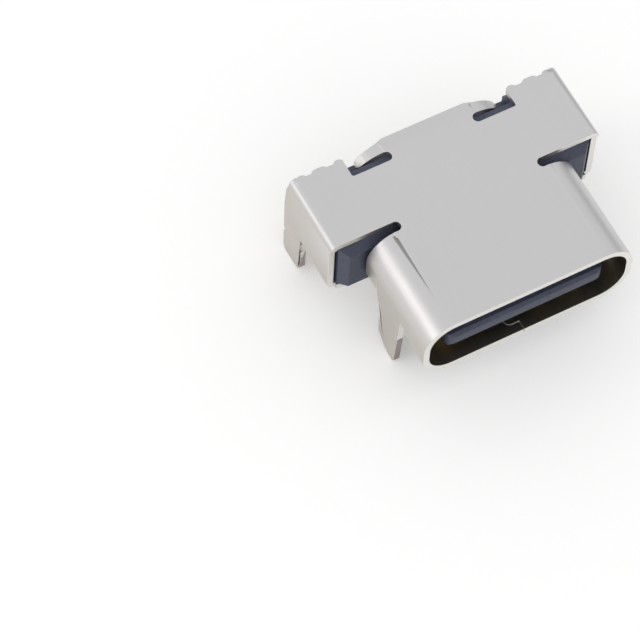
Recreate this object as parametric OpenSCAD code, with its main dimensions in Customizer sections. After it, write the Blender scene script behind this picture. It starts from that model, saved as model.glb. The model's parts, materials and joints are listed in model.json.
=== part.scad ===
// Board-mount socket for a reversible 24-contact plug.
// Frame: X across the socket, Y from the mouth to the solder tails, Z up.
// The origin is on the centreline, in the plane of the mouth and of the board's top face.

/* [Plug opening] */
// Width of the opening that the plug enters
mouth_w = 8.34; // [8.24:0.02:8.44]
// Height of the opening
mouth_h = 2.56; // [2.5:0.02:2.64]
// Radius of the opening's corners
mouth_r = 1.02; // [0.9:0.02:1.2]

/* [Shell] */
// Thickness of the folded sheet
sheet = 0.25; // [0.2:0.01:0.28]
// Height of the shell's underside above the board
stand_off = 0.14; // [0.08:0.01:0.2]
// Length of the tube that takes the plug
tube_len = 4.45; // [4.3:0.05:4.6]
// Gap between the tube's rear edge and the wings of the top
slot_w = 0.41; // [0.35:0.01:0.46]
// Distance from the centreline to the round inner end of each front slot
slot_end_x = 2.92; // [2.7:0.02:3.2]
// Overall width of the rear box
box_w = 11.46; // [11.42:0.02:11.7]
// Outer radius of the box's folds
fold_r = 0.32; // [0.29:0.01:0.4]
// Rear edge of the wings
box_rear = 8.1; // [8.06:0.02:8.16]
// How far the side walls reach behind the wings
wall_reach = 0.1; // [0.06:0.01:0.14]
// How far the side walls' front edges stand behind the wings
wall_set = 0.12; // [0.04:0.01:0.16]
// How far the carrier stubs stand out of the rear edge
stub_out = 0.11; // [0.06:0.01:0.14]
// Width of the band under the box, from front to rear
band_w = 1.85; // [1.7:0.05:1.95]
// Step of the band's middle behind its two ends
band_step = 0.07; // [0.04:0.01:0.1]
// Half the length of that middle
band_mid_x = 3.5; // [3:0.1:4]
// Gap in the closing seams
seam_gap = 0.03; // [0.02:0.01:0.06]
// Distance of the tube's seam from the centreline
seam_x = -0.07; // [-0.12:0.01:-0.02]
// Pitch of the locking tabs along the tube's seam
seam_pitch = 1.46; // [1.4:0.02:1.5]
// Length of each locking tab along the seam
tab_len = 0.63; // [0.55:0.01:0.7]
// How far each tab reaches across the seam
tab_reach = 0.54; // [0.45:0.01:0.6]
// Radius of the tabs' corners
tab_r = 0.22; // [0.15:0.01:0.28]
// Diameter of the two coined rings under the mouth
coin_d = 0.62; // [0.5:0.02:0.8]
// Distance of the coined rings from the centreline
coin_x = 2.05; // [1.9:0.05:2.3]

/* [Windows and legs] */
// Distance from the centreline to each window's inner edge
window_x = 1.57; // [1.45:0.02:1.7]
// Front edge of the windows
window_front = 1.44; // [1.36:0.02:1.5]
// Rear edge of the windows
window_rear = 3.62; // [3.58:0.02:3.7]
// Radius of the windows' inner corners
window_r = 0.34; // [0.2:0.02:0.4]
// Depth of the four legs below the board's top face
leg_depth = 1.8; // [1.6:0.05:2]
// Width of the front legs
front_leg_w = 1.2; // [1.1:0.05:1.3]
// Width of the rear legs
rear_leg_w = 1.32; // [1.2:0.02:1.36]

/* [Rear spring] */
// Distance from the centreline to the root of each spring arm
arm_root_x = 1.75; // [1.65:0.05:1.85]
// Front edge of the J-shaped notches
notch_front = 7.3; // [7.2:0.01:7.34]
// Width of the notches where they run inwards
notch_w = 0.41; // [0.38:0.01:0.44]
// Distance from the centreline to the wings' inner ends
wing_end_x = 3.51; // [3.45:0.01:3.65]
// Rear edge of the spring's middle
spring_rear = 8.3; // [8.26:0.01:8.34]
// Radius to which the arms are curled
arm_curl_r = 1.7; // [1.6:0.05:1.9]
// Angle that the arms are curled through
arm_curl = 50; // [44:1:52]

/* [Tongue] */
// Width of the tongue
tongue_w = 6.69; // [6.6:0.01:6.76]
// Thickness of the tongue
tongue_t = 0.7; // [0.68:0.01:0.74]
// Distance of the tongue's tip behind the mouth
tongue_set = 0.15; // [0.1:0.05:0.4]
// Free length of the tongue in front of its shoulder
tongue_len = 2.65; // [2.4:0.05:2.7]
// Radius of the tongue's front corners, seen from above
tongue_r = 0.4; // [0.3:0.02:0.5]

/* [Contacts] */
// Pitch of the contacts on the tongue
pad_pitch = 0.5; // [0.48:0.01:0.51]
// Thickness of the contact strip
contact_t = 0.15; // [0.12:0.01:0.16]
// Width of the ground and supply contacts on the tongue
wide_pad = 0.3; // [0.26:0.01:0.32]
// Width of the signal contacts on the tongue
slim_pad = 0.22; // [0.18:0.01:0.26]
// Width of the ground and supply tails
wide_tail = 0.27; // [0.24:0.01:0.29]
// Width of the signal tails
slim_tail = 0.2; // [0.16:0.01:0.22]
// Pitch of two signal tails side by side
slim_pitch = 0.4; // [0.38:0.01:0.41]
// Pitch of two tails where one or both are wide
wide_pitch = 0.495; // [0.48:0.005:0.5]
// Far end of the tails
tail_end = 9.04; // [8.9:0.02:9.4]
// Front face of the upright stretch of each contact
drop_y = 8.02; // [7.98:0.01:8.04]
// Inner radius of the contact's two bends
bend_r = 0.1; // [0.06:0.01:0.12]

/* [Centre plate and collars] */
// Thickness of the centre plate
plate_t = 0.15; // [0.12:0.01:0.16]
// Thickness of the ground collars
collar_t = 0.1; // [0.08:0.01:0.11]
// Width of the ground collars
collar_w = 6.2; // [5.8:0.1:6.4]

/* [Housing] */
// Gap between the housing and the sheet around it
clear = 0.04; // [0.02:0.01:0.05]
// Rear face of the housing
housing_rear = 8.3; // [8.28:0.01:8.34]
// Height of the housing's underside above the board
housing_low = 0.2; // [0.17:0.01:0.26]
// Gap at each side of a tail in its comb slot
comb_gap = 0.03; // [0.02:0.005:0.04]

/* [Hidden] */
$fn = 48;
eps = 0.02;
// Contacts in each row
ROW = 12;

tube_w = mouth_w + 2 * sheet;
tube_h = mouth_h + 2 * sheet;
tube_r = mouth_r + sheet;
shell_low = stand_off;
shell_top = stand_off + tube_h;
mid_z = stand_off + tube_h / 2;
top_under = shell_top - sheet;
band_upper = shell_low + sheet;
wing_front = tube_len + slot_w;
band_rear = wing_front + band_w;
box_half = box_w / 2;
wall_rear = box_rear + wall_reach;
box_in = box_half - sheet;
tube_half = tube_w / 2;

// Legs: the front pair hangs from the tube's sides, the rear pair from the box's sides.
window_drop = 0.09;
window_top = mid_z - window_drop;
front_leg_gap = 0.42;
front_leg_y = window_rear - front_leg_gap - front_leg_w;
leg_notch = 0.43;
leg_nose = 0.35;
burr_z = -0.4;
burr_depth = 0.12;
rear_leg_y = band_rear + leg_notch;
rear_leg_end = rear_leg_y + rear_leg_w;
notch_top = 0.11;
side_low = band_upper + notch_top;

// Outline of the side walls' rear edges, below the top.
wall_bulge = 0.15;
wall_shoulder = 0.4;
wall_knee = 1;
wall_slope = 1.6;

// Small marks of the shell: carrier stubs, seams and coined rings.
notch_corner_r = 0.1;
stub_r = 0.24;
stub_inset = 0.47;
first_tab_y = 0.38;
band_tab_y = 0.54;
coin_y = 0.64;
coin_depth = 0.03;
coin_line = 0.06;

// Contacts: level of each row, and the run from the tongue to the tails.
upper_z = mid_z + tongue_t / 2 - contact_t;
lower_z = mid_z - tongue_t / 2;
shoulder_y = tongue_set + tongue_len;
pad_inset = 0.75;
pad_front = tongue_set + pad_inset;
slim_back = 0.25;
neck_len = 0.55;
neck_y = shoulder_y - neck_len;
neck_w = 0.16;
bend_out = bend_r + contact_t;
drop_rear = drop_y + contact_t;
tail_start = drop_rear - bend_out;
fan_margin = 0.4;
fan_start = wing_front + fan_margin;
fan_end = tail_start - fan_margin;
run_w = 0.17;

// Inserts that carry the contacts, inside the block.
block_clear = 0.05;
block_x = box_in - block_clear;
insert_inset = 0.5;
insert_front = tongue_set + insert_inset;
insert_wall = 0.08;
insert_x = (ROW - 1) / 2 * pad_pitch + wide_pad / 2 + insert_wall;
base_step = 0.1;
insert_base_x = insert_x + base_step;
insert_block_y = fan_start - base_step;
plate_block_len = 1.8;
plate_inset = 0.35;
plate_side = 0.3;
plate_rear = insert_block_y + plate_block_len;
block_skin = 0.09;
insert_block_x = block_x - block_skin;
run_limit = insert_block_x - run_w / 2 - clear;
row_skin = 0.14;
insert_base_h = tongue_t / 2 + row_skin;
insert_block_h = tongue_t / 2 + 2 * row_skin;
insert_rear = tail_start - eps;

// Shoulder, flange and block of the housing.
shoulder_step_x = 0.12;
shoulder_step_z = 0.35;
shoulder_x = tongue_w / 2 + shoulder_step_x;
shoulder_h = tongue_t / 2 + shoulder_step_z;
shoulder_len = 1.1;
flange_y = shoulder_y + shoulder_len;
flange_inset = 0.26;
flange_x = mouth_w / 2 - flange_inset;
flange_h = mouth_h / 2 - collar_t - clear / 2;
tooth_len = 0.12;
collar_inset = 0.45;
block_gap = 0.16;
block_front = tube_len + block_gap;
block_top = top_under - clear / 2;
block_low = band_upper + clear / 2;
chamfer_top = 0.48;
chamfer_depth = 0.4;
chamfer_side = 0.32;
side_lead = 0.07;
side_lead_len = 0.4;
rear_chamfer = 0.45;
spring_floor = mid_z + tongue_t / 2 + row_skin;
spring_seat_y = notch_front + notch_w - clear;
comb_y = drop_y - clear;
comb_step = 0.25;
comb_low = housing_low + comb_step;
latch_depth = 0.26;
latch_set = 0.75;
latch_len = 0.5;
recess_w = 1.1;
recess_reach = 0.5;
recess_h = 0.3;

// Widths of the 24 tails in their row, seen from -X: 1 is wide, 0 is slim.
WIDE = [1, 0, 0, 1, 0, 1, 0, 0, 1, 0, 0, 0, 0, 0, 0, 1, 0, 0, 1, 0, 1, 0, 0, 1];
// Place in that row of each contact of the upper and of the lower row.
UPPER_TAIL = [1, 2, 3, 6, 7, 10, 15, 18, 19, 22, 23, 24];
LOWER_TAIL = [4, 5, 8, 9, 11, 12, 13, 14, 16, 17, 20, 21];

// Distance of tail n from tail 1, summed over the pitches between them.
// The row closes up where the box is narrower than the row's own pitches ask.
function gap_after(n) = (WIDE[n - 1] + WIDE[n] > 0) ? wide_pitch : slim_pitch;
function tail_sum(n) = n <= 1 ? 0 : tail_sum(n - 1) + gap_after(n - 1);
row_sum = tail_sum(len(WIDE));
row_room = 2 * (block_x - comb_gap) - wide_tail;
row_fit = min(1, row_room / row_sum);
function tail_x(n) = (tail_sum(n) - row_sum / 2) * row_fit;
function tail_w(n) = WIDE[n - 1] == 1 ? wide_tail : slim_tail;
// The run inside the insert stays clear of the insert's ends, though the end tails stand wider.
function run_x(n) = max(min(tail_x(n), run_limit), -run_limit);
function pad_x(i) = (i - (ROW + 1) / 2) * pad_pitch;
// Contacts 1 and 12 are ground, 4 and 9 are supply: these are wide and reach further forward.
function is_wide(i) = i == 1 || i == 4 || i == 9 || i == ROW;

module round_rect(w, h, r) {
    square([w - 2 * r, h], center = true);
    square([w, h - 2 * r], center = true);
    for (x = [-1, 1], y = [-1, 1])
        translate([x * (w / 2 - r), y * (h / 2 - r)]) circle(r);
}

module ring(w, h, r, t) {
    difference() {
        round_rect(w, h, r);
        round_rect(w - 2 * t, h - 2 * t, r - t);
    }
}

// Extrudes a drawing in X and Z along Y, from y0 to y1.
module along_y(y0, y1) {
    translate([0, y1, 0]) rotate([90, 0, 0]) linear_extrude(y1 - y0) children();
}

// Extrudes a drawing in Y and Z along X, from x0 to x1.
module along_x(x0, x1) {
    translate([x0, 0, 0]) rotate([90, 0, 90]) linear_extrude(x1 - x0) children();
}

module both_sides() {
    children();
    mirror([1, 0, 0]) children();
}

// Slot that starts with a round end at x0 and runs out to x1.
module open_slot(x0, x1, y0, w) {
    translate([x0 + w / 2, y0 + w / 2]) circle(w / 2);
    translate([x0 + w / 2, y0]) square([x1 - x0 - w / 2, w]);
}

// Quarter of a bent strip: turns from one leg to the next round the origin.
module quarter_bend(r_in, t) {
    intersection() {
        difference() {
            circle(r_in + t);
            circle(r_in);
        }
        square(r_in + t + eps);
    }
}

// ---- Shell ----

module tube() {
    along_y(0, tube_len) translate([0, mid_z]) ring(tube_w, tube_h, tube_r, sheet);
}

// Top sheet that joins the tube to the box, between the two front slots.
module bridge() {
    reach = slot_end_x + slot_w;
    translate([0, 0, top_under]) linear_extrude(sheet) difference() {
        translate([-reach, tube_len - sheet]) square([2 * reach, slot_w + 2 * sheet]);
        open_slot(slot_end_x, box_half, tube_len, slot_w);
        mirror([1, 0]) open_slot(slot_end_x, box_half, tube_len, slot_w);
    }
}

// Rear box: top, folded side walls and the band that closes it below.
module box() {
    cut_h = side_low - shell_low + eps;
    flat_half = box_half - fold_r;
    difference() {
        along_y(wing_front, wall_rear) translate([0, mid_z]) ring(box_w, tube_h, fold_r, sheet);
        translate([-box_half - eps, band_rear + band_step, shell_low - eps])
            cube([box_w + 2 * eps, wall_rear - band_rear, cut_h]);
        both_sides() translate([band_mid_x, band_rear, shell_low - eps])
            cube([box_half, band_step + eps, cut_h]);
        both_sides() translate([flat_half, wing_front - eps, shell_low - eps])
            cube([2 * fold_r, wall_set + eps, tube_h - fold_r + eps]);
        both_sides() top_rear_notch();
        translate([-flat_half, box_rear, top_under - eps]) cube([2 * flat_half, wall_reach + eps, 2 * sheet]);
    }
}

// Notch between a wing and the spring: a slot running inwards, open to the rear.
module top_rear_notch() {
    translate([0, 0, top_under - eps]) linear_extrude(sheet + 2 * eps) {
        open_slot(arm_root_x, wing_end_x - notch_corner_r, notch_front, notch_w);
        translate([arm_root_x + notch_w / 2, notch_front + notch_corner_r])
            square([wing_end_x - arm_root_x - notch_w / 2, box_rear]);
        translate([wing_end_x - notch_corner_r, notch_front + notch_corner_r]) circle(notch_corner_r);
    }
}

// Stubs left where the blank was broken from its carrier strip.
module carrier_stubs() {
    y = box_rear + stub_out - stub_r;
    outer_x = box_half - stub_inset;
    mid_x = (outer_x + wing_end_x) / 2;
    inner_x = wing_end_x + stub_r * 0.8;
    translate([0, 0, top_under]) linear_extrude(sheet) {
        translate([outer_x, y]) circle(stub_r);
        for (x = [mid_x, mid_x + stub_r]) translate([x, y]) circle(stub_r);
        translate([mid_x, y]) square([stub_r, stub_r]);
        intersection() {
            translate([inner_x, y]) circle(stub_r);
            translate([wing_end_x, y - stub_r]) square(2 * stub_r);
        }
    }
}

// Middle of the rear spring, flat with the top.
module spring_middle() {
    translate([-arm_root_x, notch_front + notch_w, top_under])
        cube([2 * arm_root_x, spring_rear - notch_front - notch_w, sheet]);
}

// Spring arm: runs on from the middle and curls down round the housing's rear edge.
module spring_arm() {
    front = notch_front + notch_w;
    r = arm_curl_r;
    end_x = arm_root_x + r * sin(arm_curl);
    end_r = 0.19;
    rise = 0.08;
    intersection() {
        along_y(front, spring_rear) translate([arm_root_x, shell_top - r]) intersection() {
            difference() {
                circle(r, $fn = 96);
                circle(r - sheet, $fn = 96);
            }
            polygon([[-eps, 0], [-eps, r + eps], [2 * r * tan(arm_curl / 2), r + eps],
                     [2 * r * sin(arm_curl), 2 * r * cos(arm_curl)]]);
        }
        linear_extrude(shell_top) {
            polygon([[arm_root_x - eps, front], [arm_root_x - eps, spring_rear], [arm_root_x, spring_rear],
                     [arm_root_x + 0.35, spring_rear - 0.1], [end_x - end_r, front + rise + 2 * end_r],
                     [end_x - end_r, front + rise]]);
            translate([end_x - end_r, front + rise + end_r]) circle(end_r);
        }
    }
}

// Outline of a rear leg and of the side wall above it, in Y and Z.
module rear_leg_outline() {
    f = rear_leg_y;
    e = rear_leg_end;
    top = shell_top - fold_r;
    polygon([[f, top], [wall_rear, top], [wall_rear + wall_bulge, top - wall_shoulder],
             [e - 0.04, top - wall_knee], [e, top - wall_slope], [e, burr_z + burr_depth],
             [e - burr_depth, burr_z], [e, burr_z - 0.2], [e, leg_nose - leg_depth],
             [e - 0.1, 0.06 - leg_depth], [e - 0.3, -leg_depth], [f + 0.5, -leg_depth],
             [f + 0.12, 0.14 - leg_depth], [f, leg_nose - leg_depth]]);
}

// Outline of a front leg, in Y and Z. Its rear edge is left rough by the shear.
module front_leg_outline() {
    f = front_leg_y;
    e = f + front_leg_w;
    polygon([[f - 0.25, window_top + 0.2], [window_rear, window_top + 0.2], [window_rear, window_top],
             [e + 0.3, 0.95], [e + 0.22, 0.62], [e + 0.16, 0.58], [e + 0.02, 0.2], [e - 0.03, 0.1],
             [e + 0.05, -0.5], [e + 0.05, 0.62 - leg_depth], [e - 0.4, 0.2 - leg_depth],
             [f + 0.35, -leg_depth], [f + 0.14, -leg_depth], [f + 0.02, 0.14 - leg_depth],
             [f, 0.3 - leg_depth], [f - 0.12, 0.1], [f - 0.2, window_top - 0.35],
             [f - 0.25, window_top]]);
}

module legs() {
    both_sides() {
        along_x(box_in, box_half) rear_leg_outline();
        along_x(tube_half - sheet, tube_half) front_leg_outline();
    }
}

// Window cut from the tube's underside up to the middle of its side.
module window() {
    w = tube_half - window_x + sheet;
    d = window_rear - window_front;
    translate([window_x, window_front, shell_low - sheet])
        linear_extrude(window_top - shell_low + sheet) {
            translate([window_r, 0]) square([w, d]);
            translate([0, window_r]) square([w, d - 2 * window_r]);
            for (y = [window_r, d - window_r]) translate([window_r, y]) circle(window_r);
        }
}

// Straight stretch of a seam between two points.
module seam_cut(a, b) {
    d = b - a;
    translate(a) rotate(atan2(d[1], d[0])) translate([-seam_gap / 2, -seam_gap / 2])
        square([norm(d) + seam_gap, seam_gap]);
}

// Locking tab of a seam: starts at the height y and reaches towards -X.
module seam_tab(y) {
    intersection() {
        translate([0, y + tab_len / 2]) difference() {
            round_rect(2 * tab_reach + seam_gap, tab_len + seam_gap, tab_r + seam_gap / 2);
            round_rect(2 * tab_reach - seam_gap, tab_len - seam_gap, tab_r - seam_gap / 2);
        }
        translate([-tab_reach - seam_gap, y - seam_gap])
            square([tab_reach + 1.5 * seam_gap, tab_len + 2 * seam_gap]);
    }
}

module seam_line(y0, y1) {
    seam_cut([0, y0], [0, y1]);
}

module tube_seam() {
    translate([seam_x, 0]) {
        seam_line(-seam_gap, first_tab_y);
        for (k = [0:2]) seam_tab(first_tab_y + k * seam_pitch);
        for (k = [0:1]) seam_line(first_tab_y + tab_len + k * seam_pitch, first_tab_y + (k + 1) * seam_pitch);
        seam_line(first_tab_y + tab_len + 2 * seam_pitch, tube_len + seam_gap);
    }
}

module band_seam() {
    start = wing_front + band_tab_y;
    seam_line(wing_front - seam_gap, start);
    seam_tab(start);
    seam_line(start + tab_len, band_rear + band_step + seam_gap);
}

module seams() {
    translate([0, 0, shell_low - eps]) linear_extrude(sheet + 2 * eps) {
        tube_seam();
        band_seam();
    }
}

module coined_ring() {
    translate([coin_x, coin_y, shell_low - eps]) difference() {
        cylinder(h = coin_depth + eps, d = coin_d);
        translate([0, 0, -eps]) cylinder(h = coin_depth + 3 * eps, d = coin_d - 2 * coin_line);
    }
}

module shell() {
    color([0.79, 0.79, 0.78]) difference() {
        union() {
            difference() {
                union() {
                    tube();
                    bridge();
                    box();
                    both_sides() carrier_stubs();
                    spring_middle();
                    both_sides() spring_arm();
                }
                both_sides() window();
            }
            legs();
        }
        seams();
        both_sides() coined_ring();
    }
}

// ---- Contacts ----

// Side view of the rear of a contact in the row at height z: down, round two bends and out.
module tail_profile(z) {
    top = z + contact_t;
    translate([insert_rear, z]) square([tail_start - insert_rear, contact_t]);
    translate([drop_rear - bend_out, top - bend_out]) quarter_bend(bend_r, contact_t);
    translate([drop_y, bend_out]) square([contact_t, top - 2 * bend_out]);
    translate([drop_rear + bend_r, bend_out]) rotate(180) quarter_bend(bend_r, contact_t);
    translate([drop_rear + bend_r, 0]) square([tail_end - drop_rear - bend_r, contact_t]);
}

// Contact i of a row, from its pad on the tongue to tail n.
module contact(i, n, z) {
    px = pad_x(i);
    tx = tail_x(n);
    rx = run_x(n);
    wide = is_wide(i);
    pw = wide ? wide_pad : slim_pad;
    front = pad_front + (wide ? 0 : slim_back);
    nw = wide ? pw : neck_w;
    nx = px + (pw - nw) / 2;
    translate([px - pw / 2, front, z]) cube([pw, (wide ? fan_start : neck_y) - front, contact_t]);
    translate([nx - nw / 2, front, z]) cube([nw, fan_start - front, contact_t]);
    translate([0, 0, z]) linear_extrude(contact_t) {
        polygon([[nx - run_w / 2, fan_start - run_w], [nx + run_w / 2, fan_start - run_w],
                 [nx + run_w / 2, fan_start], [rx + run_w / 2, fan_end], [rx + run_w / 2, insert_rear],
                 [rx - run_w / 2, insert_rear], [rx - run_w / 2, fan_end], [nx - run_w / 2, fan_start]]);
    }
    along_x(tx - tail_w(n) / 2, tx + tail_w(n) / 2) tail_profile(z);
}

module contact_a(i) {
    color([0.92, 0.78, 0.36]) contact(i, UPPER_TAIL[i - 1], upper_z);
}

module contact_b(i) {
    color([0.92, 0.78, 0.36]) contact(i, LOWER_TAIL[i - 1], lower_z);
}

// ---- Centre plate and ground collars ----

module centre_plate() {
    color([0.72, 0.71, 0.7]) translate([0, 0, mid_z - plate_t / 2]) linear_extrude(plate_t) difference() {
        union() {
            translate([-tongue_w / 2, tongue_set + plate_inset]) square([tongue_w, tongue_len - plate_inset]);
            translate([plate_side - shoulder_x, shoulder_y - eps])
                square([2 * (shoulder_x - plate_side), fan_end - shoulder_y]);
            translate([plate_side - insert_block_x, insert_block_y])
                square([2 * (insert_block_x - plate_side), plate_rear - insert_block_y]);
        }
        both_sides() latch_notch();
    }
}

// Side notch of the tongue that the plug's latch drops into.
module latch_notch() {
    translate([tongue_w / 2 - latch_depth, shoulder_y - latch_set]) square([latch_depth + eps, latch_len]);
}

// Upper ground collar: a flat on the shoulder, a rise, and a flat against the shell.
module collar() {
    front = shoulder_y + collar_inset;
    rise_y = flange_y - collar_t;
    low = shoulder_h;
    high = flange_h;
    teeth_y = block_front - tooth_len - clear / 2;
    along_x(-collar_w / 2, collar_w / 2) translate([0, mid_z]) {
        translate([front, low]) square([flange_y - front, collar_t]);
        translate([rise_y, low]) square([collar_t, high + collar_t - low]);
        translate([rise_y, high]) square([teeth_y - rise_y, collar_t]);
    }
    translate([0, 0, mid_z + high]) linear_extrude(collar_t) for (x = [-2.1, -0.95, 0.2, 1.5])
        translate([x, teeth_y - eps]) polygon([[0, 0], [0.62, 0], [0.5, 0.8 * tooth_len], [0.12, tooth_len]]);
}

module upper_collar() {
    color([0.82, 0.81, 0.79]) collar();
}

module lower_collar() {
    color([0.82, 0.81, 0.79]) translate([0, 0, 2 * mid_z]) mirror([0, 0, 1]) collar();
}

// ---- Insulators ----

// Plastic carrier of one contact row, above the centre plate; the lower one is its mirror.
module insert_body() {
    low = plate_t / 2;
    translate([0, 0, mid_z]) {
        translate([-insert_x, insert_front, low])
            cube([2 * insert_x, shoulder_y - insert_front + eps, tongue_t / 2 - low]);
        translate([-insert_base_x, shoulder_y, low])
            cube([2 * insert_base_x, insert_block_y - shoulder_y + eps, insert_base_h - low]);
        translate([-insert_block_x, insert_block_y, low])
            cube([2 * insert_block_x, insert_rear - insert_block_y, insert_block_h - low]);
    }
}

module lower_insert_body() {
    translate([0, 0, 2 * mid_z]) mirror([0, 0, 1]) insert_body();
}

module upper_insert() {
    color([0.2, 0.21, 0.25]) difference() {
        insert_body();
        for (i = [1:ROW]) contact(i, UPPER_TAIL[i - 1], upper_z);
    }
}

module lower_insert() {
    color([0.2, 0.21, 0.25]) difference() {
        lower_insert_body();
        for (i = [1:ROW]) contact(i, LOWER_TAIL[i - 1], lower_z);
    }
}

// Tongue with rounded front corners and a bevelled tip.
module tongue() {
    bevel = 0.12;
    len = tongue_len + eps;
    intersection() {
        along_y(tongue_set, tongue_set + len) translate([0, mid_z]) round_rect(tongue_w, tongue_t, 0.1);
        translate([0, tongue_set + len / 2]) linear_extrude(shell_top) {
            square([tongue_w - 2 * tongue_r, len], center = true);
            translate([0, tongue_r / 2]) square([tongue_w, len - tongue_r], center = true);
            for (x = [-1, 1]) translate([x * (tongue_w / 2 - tongue_r), tongue_r - len / 2]) circle(tongue_r);
        }
        along_x(-tongue_w, tongue_w) translate([tongue_set, mid_z])
            polygon([[0, bevel - tongue_t / 2], [bevel, -tongue_t / 2], [len, -tongue_t / 2],
                     [len, tongue_t / 2], [bevel, tongue_t / 2], [0, tongue_t / 2 - bevel]]);
    }
}

// Shoulder at the tongue's root, with bevelled front edges.
module shoulder() {
    bevel = 0.13;
    intersection() {
        translate([-shoulder_x, shoulder_y, mid_z - shoulder_h])
            cube([2 * shoulder_x, flange_y - shoulder_y + eps, 2 * shoulder_h]);
        along_x(-shoulder_x, shoulder_x) translate([shoulder_y, mid_z])
            polygon([[0, bevel - shoulder_h], [bevel, -shoulder_h], [flange_y, -shoulder_h],
                     [flange_y, shoulder_h], [bevel, shoulder_h], [0, shoulder_h - bevel]]);
    }
}

// Block inside the rear box, bevelled where it shows beside the tube.
module block() {
    low_y = band_rear + band_step + clear;
    lead_x = block_x - side_lead;
    lead_y = block_front + chamfer_side;
    intersection() {
        along_x(-block_x, block_x) polygon([
            [block_front, block_low], [block_front, block_top - chamfer_top],
            [block_front + chamfer_depth, block_top], [wall_rear - rear_chamfer / 2, block_top],
            [housing_rear, block_top - rear_chamfer], [housing_rear, comb_low],
            [comb_y, comb_low], [comb_y, housing_low], [low_y, housing_low], [low_y, block_low]]);
        linear_extrude(shell_top) both_sides() polygon([
            [-eps, block_front], [lead_x - chamfer_side, block_front], [lead_x, lead_y],
            [block_x, lead_y + side_lead_len], [block_x, housing_rear], [-eps, housing_rear]]);
    }
}

// Channel that a contact of the row at height z comes down in, to tail n below the rear wall.
module comb_slot(n, z) {
    w = tail_w(n) + 2 * comb_gap;
    bend_low = z + contact_t - bend_out - comb_gap;
    along_x(tail_x(n) - w / 2, tail_x(n) + w / 2) {
        translate([insert_rear, bend_low])
            square([drop_rear + comb_gap - insert_rear, bend_out + 2 * comb_gap]);
        translate([drop_y - comb_gap, comb_low - eps])
            square([contact_t + 2 * comb_gap, bend_low - comb_low + 2 * eps]);
    }
}

module housing() {
    color([0.36, 0.39, 0.48]) difference() {
        union() {
            tongue();
            shoulder();
            along_y(flange_y, block_front + eps) translate([0, mid_z])
                round_rect(2 * flange_x, 2 * flange_h, mouth_r * 0.8);
            block();
        }
        insert_body();
        lower_insert_body();
        centre_plate();
        translate([0, 0, mid_z - tongue_t]) linear_extrude(2 * tongue_t) both_sides() latch_notch();
        for (i = [1:ROW]) {
            comb_slot(UPPER_TAIL[i - 1], upper_z);
            comb_slot(LOWER_TAIL[i - 1], lower_z);
        }
        translate([-wing_end_x, spring_seat_y, spring_floor])
            cube([2 * wing_end_x, housing_rear, shell_top]);
        translate([-recess_w / 2, band_rear, 0])
            cube([recess_w, recess_reach, housing_low + recess_h]);
    }
}

shell();
housing();
upper_insert();
lower_insert();
centre_plate();
upper_collar();
lower_collar();
for (i = [1:ROW]) {
    contact_a(i);
    contact_b(i);
}
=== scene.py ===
"""Looks of a board-mount socket: folded steel shell, moulded plastic inside, gold contacts.

The solids come from the frame. Each one is copied, its triangles are welded and its edges are
rounded off, as a press tool, a mould or a plating bath leaves them. Lengths are in metres.
"""
import json
import math

import bmesh
import bpy
from mathutils import Matrix, Vector
from mathutils.bvhtree import BVHTree

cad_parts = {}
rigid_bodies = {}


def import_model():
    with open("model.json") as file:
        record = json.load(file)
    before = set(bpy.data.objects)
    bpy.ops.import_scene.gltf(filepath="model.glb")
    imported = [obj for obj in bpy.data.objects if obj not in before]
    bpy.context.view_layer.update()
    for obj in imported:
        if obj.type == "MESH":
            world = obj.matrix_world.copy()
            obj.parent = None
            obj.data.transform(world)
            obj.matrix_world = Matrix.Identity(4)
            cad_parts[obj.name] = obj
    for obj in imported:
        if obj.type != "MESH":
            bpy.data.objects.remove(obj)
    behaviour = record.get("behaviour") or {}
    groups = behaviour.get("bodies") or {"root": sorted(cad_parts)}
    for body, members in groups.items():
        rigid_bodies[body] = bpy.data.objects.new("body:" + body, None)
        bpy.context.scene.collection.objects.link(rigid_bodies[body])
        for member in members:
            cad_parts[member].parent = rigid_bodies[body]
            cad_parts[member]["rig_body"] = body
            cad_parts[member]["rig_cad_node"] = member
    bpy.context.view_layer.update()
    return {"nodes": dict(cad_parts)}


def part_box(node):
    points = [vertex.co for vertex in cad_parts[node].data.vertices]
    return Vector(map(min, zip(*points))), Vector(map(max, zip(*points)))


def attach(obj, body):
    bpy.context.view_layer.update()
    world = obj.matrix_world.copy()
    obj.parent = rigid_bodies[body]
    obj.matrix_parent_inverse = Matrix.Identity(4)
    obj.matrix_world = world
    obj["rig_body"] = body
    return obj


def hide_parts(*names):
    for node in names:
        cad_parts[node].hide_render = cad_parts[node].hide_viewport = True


MM = 0.001

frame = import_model()
nodes = frame["nodes"]

FLOOR_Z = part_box("shell")[0].z
SHEET = 0.25 * MM
TUBE_REAR = 4.45 * MM
TUBE_LOW = 0.14 * MM
LEG_TOP = 0.1 * MM


# ---- Node helpers ----

def new_material(name):
    """An empty node material with a Principled shader wired to its output."""
    material = bpy.data.materials.new(name)
    material.use_nodes = True
    tree = material.node_tree
    tree.nodes.clear()
    output = tree.nodes.new("ShaderNodeOutputMaterial")
    shader = tree.nodes.new("ShaderNodeBsdfPrincipled")
    tree.links.new(shader.outputs["BSDF"], output.inputs["Surface"])
    return material, tree, shader


def add(tree, kind, inputs=None, **settings):
    """Adds a node, sets its properties and its input values or links."""
    node = tree.nodes.new(kind)
    for key, value in settings.items():
        setattr(node, key, value)
    for key, value in (inputs or {}).items():
        plug(tree, value, node.inputs[key])
    return node


def plug(tree, value, socket):
    """Links an output to a socket, or sets the socket's own value."""
    if isinstance(value, bpy.types.NodeSocket):
        tree.links.new(value, socket)
    else:
        socket.default_value = value


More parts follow.
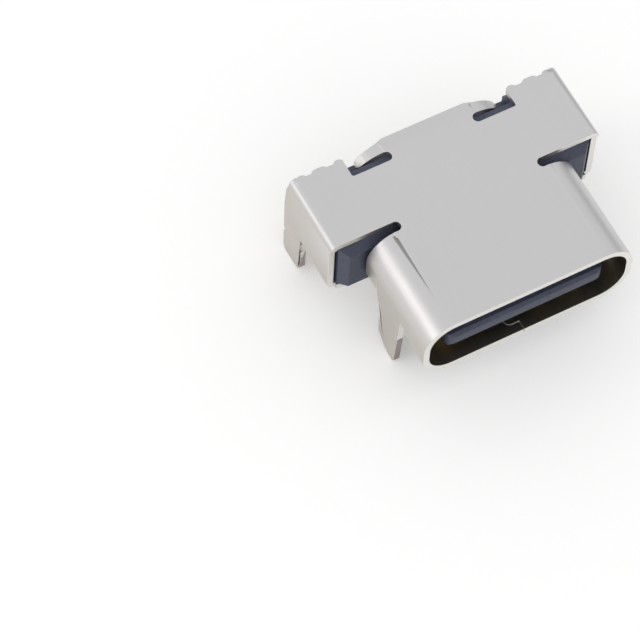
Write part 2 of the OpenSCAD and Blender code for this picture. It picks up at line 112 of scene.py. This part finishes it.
def calc(tree, operation, a, b=None, c=None, clamp=False):
    """One Math node; returns its output."""
    node = tree.nodes.new("ShaderNodeMath")
    node.operation = operation
    node.use_clamp = clamp
    for socket, value in zip(node.inputs, (a, b, c)):
        if value is not None:
            plug(tree, value, socket)
    return node.outputs[0]


def blend_colour(tree, factor, a, b):
    """Mixes colour a into colour b by factor; returns the colour output."""
    node = tree.nodes.new("ShaderNodeMix")
    node.data_type = "RGBA"
    plug(tree, factor, node.inputs[0])
    plug(tree, a, node.inputs[6])
    plug(tree, b, node.inputs[7])
    return node.outputs[2]


def new_group(name, inputs, outputs):
    """A shader node group with named sockets. inputs: name to (type, default); outputs: name to type."""
    group = bpy.data.node_groups.new(name, "ShaderNodeTree")
    for label, (kind, default) in inputs.items():
        socket = group.interface.new_socket(name=label, in_out="INPUT", socket_type="NodeSocket" + kind)
        if default is not None:
            socket.default_value = default
    for label, kind in outputs.items():
        group.interface.new_socket(name=label, in_out="OUTPUT", socket_type="NodeSocket" + kind)
    return group, group.nodes.new("NodeGroupInput").outputs, group.nodes.new("NodeGroupOutput").inputs


def use_group(tree, group, **values):
    """Places a group in a material; underscores in the names stand for spaces."""
    node = tree.nodes.new("ShaderNodeGroup")
    node.node_tree = group
    for key, value in values.items():
        plug(tree, value, node.inputs[key.replace("_", " ")])
    return node.outputs


# ---- Shared effects ----

def make_edge_group():
    """Rounded normals and a mask that is 1 on sharp edges and 0 on flats; the materials paint an edge highlight with
    the mask, broken up by noise.
    """
    group, into, out = new_group(
        "rounded_edge_highlight",
        {"Radius": ("Float", 0.03 * MM), "Gain": ("Float", 3.0), "Scale": ("Float", 6000.0)},
        {"Mask": "Float", "Normal": "Vector"})
    bevel = add(group, "ShaderNodeBevel", {"Radius": into["Radius"]}, samples=6)
    true_normal = add(group, "ShaderNodeNewGeometry").outputs["Normal"]
    along = add(group, "ShaderNodeVectorMath", {0: bevel.outputs[0], 1: true_normal}, operation="DOT_PRODUCT")
    turned = calc(group, "SUBTRACT", 1.0, along.outputs["Value"])
    place = add(group, "ShaderNodeTexCoord").outputs["Object"]
    highlight_noise = add(group, "ShaderNodeTexNoise", {"Vector": place, "Scale": into["Scale"], "Detail": 3.0})
    highlight_breakup = calc(group, "ADD", highlight_noise.outputs["Fac"], 0.5)
    strength = calc(group, "MULTIPLY", turned, into["Gain"])
    group.links.new(calc(group, "MULTIPLY", strength, highlight_breakup, clamp=True), out["Mask"])
    group.links.new(bevel.outputs[0], out["Normal"])
    return group


def make_grain_group():
    """Rolled-sheet grain: fine streaks along Y, cloudy tone and small pits."""
    group, into, out = new_group(
        "rolled_grain",
        {"Streak Scale": ("Float", 9000.0), "Cloud Scale": ("Float", 260.0), "Pit Scale": ("Float", 5200.0)},
        {"Streaks": "Float", "Clouds": "Float", "Pits": "Float"})
    place = add(group, "ShaderNodeTexCoord").outputs["Object"]
    stretched = add(group, "ShaderNodeMapping", {"Vector": place, "Scale": (1.0, 0.06, 0.35)})
    streaks = add(group, "ShaderNodeTexNoise",
                  {"Vector": stretched.outputs[0], "Scale": into["Streak Scale"], "Detail": 4.0, "Roughness": 0.6})
    clouds = add(group, "ShaderNodeTexNoise",
                 {"Vector": place, "Scale": into["Cloud Scale"], "Detail": 5.0, "Roughness": 0.55})
    pits = add(group, "ShaderNodeTexNoise",
               {"Vector": place, "Scale": into["Pit Scale"], "Detail": 2.0, "Roughness": 0.7})
    group.links.new(streaks.outputs["Fac"], out["Streaks"])
    group.links.new(clouds.outputs["Fac"], out["Clouds"])
    group.links.new(pits.outputs["Fac"], out["Pits"])
    return group


# Painted reflection: the warm tone that side-facing steel walls show where they reflect the floor.
WALL_REFLECTION_TONE = (0.55, 0.52, 0.47)
# Painted shade: the dark brown of the tube's inside, where little light reaches.
HOLLOW_SHADE_TONE = (0.16, 0.14, 0.11)
TORN_TONE = (0.23, 0.18, 0.16)

EDGE = make_edge_group()
GRAIN = make_grain_group()


def steel(name, colour, rim_highlight, tint, roughness, streak_depth):
    """Cold-rolled sheet: satin faces with a faint lengthwise grain, sheared faces and sharp edges painted pale as a
    highlight, the hollow side painted dark as shade, side-facing faces painted warm as a reflection of the floor.

    The attributes "cut" and "inside" are 1 on sheared faces and on the hollow side, as mark_sheet sets them.
    """
    material, tree, shader = new_material(name)
    grain = use_group(tree, GRAIN)
    edge = use_group(tree, EDGE, Radius=0.035 * MM, Gain=3.5)
    cut = add(tree, "ShaderNodeAttribute", attribute_name="cut").outputs["Fac"]
    inside = add(tree, "ShaderNodeAttribute", attribute_name="inside").outputs["Fac"]
    place = add(tree, "ShaderNodeTexCoord").outputs["Object"]
    facing = add(tree, "ShaderNodeSeparateXYZ",
                 {0: add(tree, "ShaderNodeNewGeometry").outputs["Normal"]}).outputs["Z"]
    # Painted reflection: faces that face sideways are mixed towards a warm tone, the warm floor as the walls reflect
    # it.
    wall = calc(tree, "SUBTRACT", 1.0, calc(tree, "MULTIPLY", calc(tree, "ABSOLUTE", facing), 1.6), clamp=True)
    toned = blend_colour(tree, calc(tree, "MULTIPLY", grain["Clouds"], 0.9, clamp=True), (*colour, 1), (*tint, 1))
    floor_reflected = blend_colour(tree, calc(tree, "MULTIPLY", wall, 0.9), toned, (*WALL_REFLECTION_TONE, 1))
    # Painted shade: faces on the hollow side inside the tube are mixed towards dark brown.
    hollow = blend_colour(tree, calc(tree, "MULTIPLY", inside, 0.92), floor_reflected, (*HOLLOW_SHADE_TONE, 1))
    # Painted highlight: sheared faces and sharp edges are mixed towards the pale rim colour, the bright floor as they
    # reflect it.
    bright = calc(tree, "MAXIMUM", calc(tree, "MULTIPLY", cut, 0.9), edge["Mask"])
    highlighted = blend_colour(tree, bright, hollow, (*rim_highlight, 1))
    height = add(tree, "ShaderNodeSeparateXYZ", {0: place}).outputs["Z"]
    low = calc(tree, "MULTIPLY", cut, calc(tree, "LESS_THAN", height, LEG_TOP))
    torn = calc(tree, "MULTIPLY_ADD", grain["Clouds"], 0.8, 0.35, clamp=True)
    plug(tree, blend_colour(tree, calc(tree, "MULTIPLY", low, torn), highlighted, (*TORN_TONE, 1)),
         shader.inputs["Base Color"])
    shader.inputs["Metallic"].default_value = 1.0
    rough = calc(tree, "MULTIPLY_ADD", grain["Streaks"], 0.16, roughness - 0.08)
    plug(tree, calc(tree, "MULTIPLY_ADD", grain["Clouds"], 0.1, rough, clamp=True), shader.inputs["Roughness"])
    relief = calc(tree, "MULTIPLY_ADD", grain["Pits"], 0.5, grain["Streaks"])
    bump = add(tree, "ShaderNodeBump",
               {"Height": relief, "Distance": streak_depth, "Strength": 1.0, "Normal": edge["Normal"]})
    plug(tree, bump.outputs[0], shader.inputs["Normal"])
    return material


def plastic(name, colour, pale, edge_highlight, roughness, depth):
    """Moulded glass-filled plastic: mottled tone, matt skin with flow marks, sharp edges painted paler as a highlight.
    """
    material, tree, shader = new_material(name)
    grain = use_group(tree, GRAIN, Streak_Scale=3000.0, Cloud_Scale=900.0, Pit_Scale=7000.0)
    edge = use_group(tree, EDGE, Radius=0.05 * MM, Gain=2.0)
    cloudy = calc(tree, "MULTIPLY_ADD", grain["Pits"], 0.9, calc(tree, "SUBTRACT", grain["Clouds"], 0.45))
    toned = blend_colour(tree, calc(tree, "MULTIPLY", cloudy, 1.0, clamp=True), (*colour, 1), (*pale, 1))
    # Painted highlight: sharp edges are mixed towards the paler edge colour.
    plug(tree, blend_colour(tree, edge["Mask"], toned, (*edge_highlight, 1)), shader.inputs["Base Color"])
    plug(tree, calc(tree, "MULTIPLY_ADD", grain["Clouds"], 0.2, roughness - 0.1), shader.inputs["Roughness"])
    bump = add(tree, "ShaderNodeBump",
               {"Height": grain["Pits"], "Distance": depth, "Strength": 1.0, "Normal": edge["Normal"]})
    plug(tree, bump.outputs[0], shader.inputs["Normal"])
    return material


def gold(name):
    """Gold flash over nickel: warm and smooth, paler on sharp edges as a painted highlight."""
    material, tree, shader = new_material(name)
    grain = use_group(tree, GRAIN, Streak_Scale=8000.0, Cloud_Scale=1500.0, Pit_Scale=9000.0)
    edge = use_group(tree, EDGE, Radius=0.02 * MM, Gain=2.5)
    toned = blend_colour(tree, grain["Clouds"], (0.86, 0.60, 0.13, 1), (0.93, 0.74, 0.26, 1))
    # Painted highlight: sharp edges are mixed towards a paler gold.
    plug(tree, blend_colour(tree, edge["Mask"], toned, (0.95, 0.83, 0.42, 1)), shader.inputs["Base Color"])
    shader.inputs["Metallic"].default_value = 1.0
    plug(tree, calc(tree, "MULTIPLY_ADD", grain["Streaks"], 0.2, 0.2), shader.inputs["Roughness"])
    bump = add(tree, "ShaderNodeBump",
               {"Height": grain["Streaks"], "Distance": 0.0012 * MM, "Strength": 1.0, "Normal": edge["Normal"]})
    plug(tree, bump.outputs[0], shader.inputs["Normal"])
    return material


# For each steel, the second colour is its painted rim highlight.
SHELL_STEEL = steel("shell_sheet", (0.60, 0.59, 0.60), (0.86, 0.84, 0.80), (0.64, 0.63, 0.635), 0.34, 0.0016 * MM)
PLATE_STEEL = steel("plate_sheet", (0.52, 0.51, 0.50), (0.75, 0.73, 0.70), (0.58, 0.57, 0.56), 0.36, 0.0016 * MM)
COLLAR_STEEL = steel("collar_sheet", (0.66, 0.65, 0.63), (0.86, 0.84, 0.80), (0.6, 0.59, 0.57), 0.28, 0.0012 * MM)
# For each plastic, the third colour is its painted edge highlight.
HOUSING = plastic("housing_plastic", (0.030, 0.036, 0.060), (0.075, 0.088, 0.140), (0.10, 0.11, 0.16), 0.5, 0.006 * MM)
INSERT = plastic("insert_plastic", (0.012, 0.013, 0.018), (0.03, 0.032, 0.042), (0.05, 0.052, 0.062), 0.5, 0.005 * MM)
GOLD = gold("gold_plating")


# ---- Pieces ----

def mark_sheet(body):
    """Marks a folded sheet's faces: "cut" where no opposite face lies one sheet behind, "inside" in the tube."""
    cut = body.faces.layers.float.new("cut")
    inside = body.faces.layers.float.new("inside")
    tree = BVHTree.FromBMesh(body)
    for face in body.faces:
        centre = face.calc_center_median()
        hit = tree.ray_cast(centre - face.normal * 0.01 * MM, -face.normal)
        thin = hit[0] is not None and hit[3] < SHEET * 1.15
        narrow = min(edge.calc_length() for edge in face.edges) < SHEET * 0.6 and face.calc_area() < SHEET ** 2 * 0.5
        sheared = abs(face.normal.y) > 0.3 or (face.normal.z < -0.9 and centre.z < 0)
        face[cut] = 1.0 if sheared and not thin and not narrow else 0.0
        middle = Vector((0, centre.y, TUBE_LOW + SHEET + 1.28 * MM))
        face[inside] = 1.0 if thin and centre.y < TUBE_REAR and face.normal.dot(middle - centre) > 0 else 0.0


def rework(node, material, rounding, marks=None):
    """A welded copy of a solid with its flat triangles joined and its edges rounded; it stands for the node."""
    piece = nodes[node].copy()
    piece.data = nodes[node].data.copy()
    piece.name = node + "_finished"
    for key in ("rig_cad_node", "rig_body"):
        if key in piece:
            del piece[key]
    piece.parent = None
    bpy.context.scene.collection.objects.link(piece)
    body = bmesh.new()
    body.from_mesh(piece.data)
    bmesh.ops.remove_doubles(body, verts=body.verts, dist=1e-7)
    bmesh.ops.dissolve_limit(body, angle_limit=math.radians(0.2), verts=body.verts, edges=body.edges)
    bmesh.ops.recalc_face_normals(body, faces=body.faces)
    if marks:
        marks(body)
    body.to_mesh(piece.data)
    body.free()
    piece.data.materials.clear()
    piece.data.materials.append(material)
    piece.data.polygons.foreach_set("use_smooth", [True] * len(piece.data.polygons))
    piece.data.set_sharp_from_angle(angle=math.radians(30))
    bevel = piece.modifiers.new("rounding", "BEVEL")
    bevel.width = rounding
    bevel.segments = 2
    bevel.limit_method = "ANGLE"
    bevel.angle_limit = math.radians(30)
    bevel.harden_normals = True
    bevel.miter_outer = "MITER_ARC"
    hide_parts(node)
    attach(piece, "root")
    return piece


rework("shell", SHELL_STEEL, 0.02 * MM, marks=mark_sheet)
rework("housing", HOUSING, 0.02 * MM)
for name in ("upper_insert", "lower_insert"):
    rework(name, INSERT, 0.01 * MM)
rework("centre_plate", PLATE_STEEL, 0.01 * MM)
for name in ("upper_collar", "lower_collar"):
    rework(name, COLLAR_STEEL, 0.01 * MM)
for row in "ab":
    for place in range(1, 13):
        rework(f"contact_{row}{place}", GOLD, 0.012 * MM)


# ---- Floor, light and camera ----

def make_floor():
    """A pale floor under the legs, which keeps the part's shadow."""
    reach = 0.6
    mesh = bpy.data.meshes.new("floor")
    mesh.from_pydata([(-reach, -reach, FLOOR_Z), (reach, -reach, FLOOR_Z),
                      (reach, reach, FLOOR_Z), (-reach, reach, FLOOR_Z)], [], [(0, 1, 2, 3)])
    floor = bpy.data.objects.new("floor", mesh)
    bpy.context.scene.collection.objects.link(floor)
    material = bpy.data.materials.new("floor_paper")
    material.use_nodes = True
    tree = material.node_tree
    tree.nodes.clear()
    output = tree.nodes.new("ShaderNodeOutputMaterial")
    paper = add(tree, "ShaderNodeBsdfDiffuse", {"Color": (0.8, 0.8, 0.8, 1)})
    seen = add(tree, "ShaderNodeLightPath")
    direct = calc(tree, "MAXIMUM", seen.outputs["Is Camera Ray"], seen.outputs["Is Glossy Ray"])
    glow = add(tree, "ShaderNodeEmission",
               {"Color": (1, 1, 1, 1), "Strength": calc(tree, "MULTIPLY", direct, 0.25)})
    both = add(tree, "ShaderNodeAddShader", {0: paper.outputs[0], 1: glow.outputs[0]})
    tree.links.new(both.outputs[0], output.inputs["Surface"])
    mesh.materials.append(material)


def make_world():
    """A pale studio: white to the camera, near white above and darker towards the horizon in reflections."""
    world = bpy.data.worlds.new("studio")
    world.use_nodes = True
    tree = world.node_tree
    tree.nodes.clear()
    output = tree.nodes.new("ShaderNodeOutputWorld")
    direction = add(tree, "ShaderNodeTexCoord").outputs["Generated"]
    rise = add(tree, "ShaderNodeSeparateXYZ", {0: direction}).outputs["Z"]
    height = add(tree, "ShaderNodeMapRange", {0: rise, 1: 0.05, 2: 0.42, 3: 0.35, 4: 0.93},
                 interpolation_type="SMOOTHSTEP").outputs[0]
    seen = add(tree, "ShaderNodeLightPath").outputs["Is Camera Ray"]
    strength = calc(tree, "MAXIMUM", seen, height)
    sky = add(tree, "ShaderNodeBackground", {"Color": (1, 1, 1, 1), "Strength": strength})
    tree.links.new(sky.outputs[0], output.inputs["Surface"])
    bpy.context.scene.world = world


def make_lamp(name, place, aim, size, power, colour):
    """A soft square lamp at place, turned to aim."""
    light = bpy.data.lights.new(name, "AREA")
    light.shape = "RECTANGLE"
    light.size, light.size_y = size
    light.energy = power
    light.color = colour
    lamp = bpy.data.objects.new(name, light)
    lamp.location = place
    lamp.rotation_euler = (Vector(aim) - Vector(place)).to_track_quat("-Z", "Y").to_euler()
    bpy.context.scene.collection.objects.link(lamp)


def make_camera():
    """A long lens above the mouth's left corner."""
    camera = bpy.data.cameras.new("camera")
    camera.lens = 186.33
    camera.sensor_width = 36.0
    camera.clip_start = 0.005
    camera.clip_end = 5.0
    holder = bpy.data.objects.new("camera", camera)
    right = Vector((0.8831, -0.4685, 0.0259))
    up = Vector((0.3939, 0.7702, 0.5016))
    back = Vector((-0.2549, -0.4327, 0.8647))
    turn = Matrix((right, up, back)).transposed().to_4x4()
    holder.matrix_world = Matrix.Translation(Vector((-38.09, -49.55, 107.01)) * MM) @ turn
    bpy.context.scene.collection.objects.link(holder)
    bpy.context.scene.camera = holder


make_floor()
make_world()
CENTRE = (0, 0.0045, 0.001)
make_lamp("key", (-0.24, 0.06, 0.10), CENTRE, (0.16, 0.16), 0.12, (1.0, 0.97, 0.92))
make_camera()

bpy.context.scene.view_settings.view_transform = "Standard"
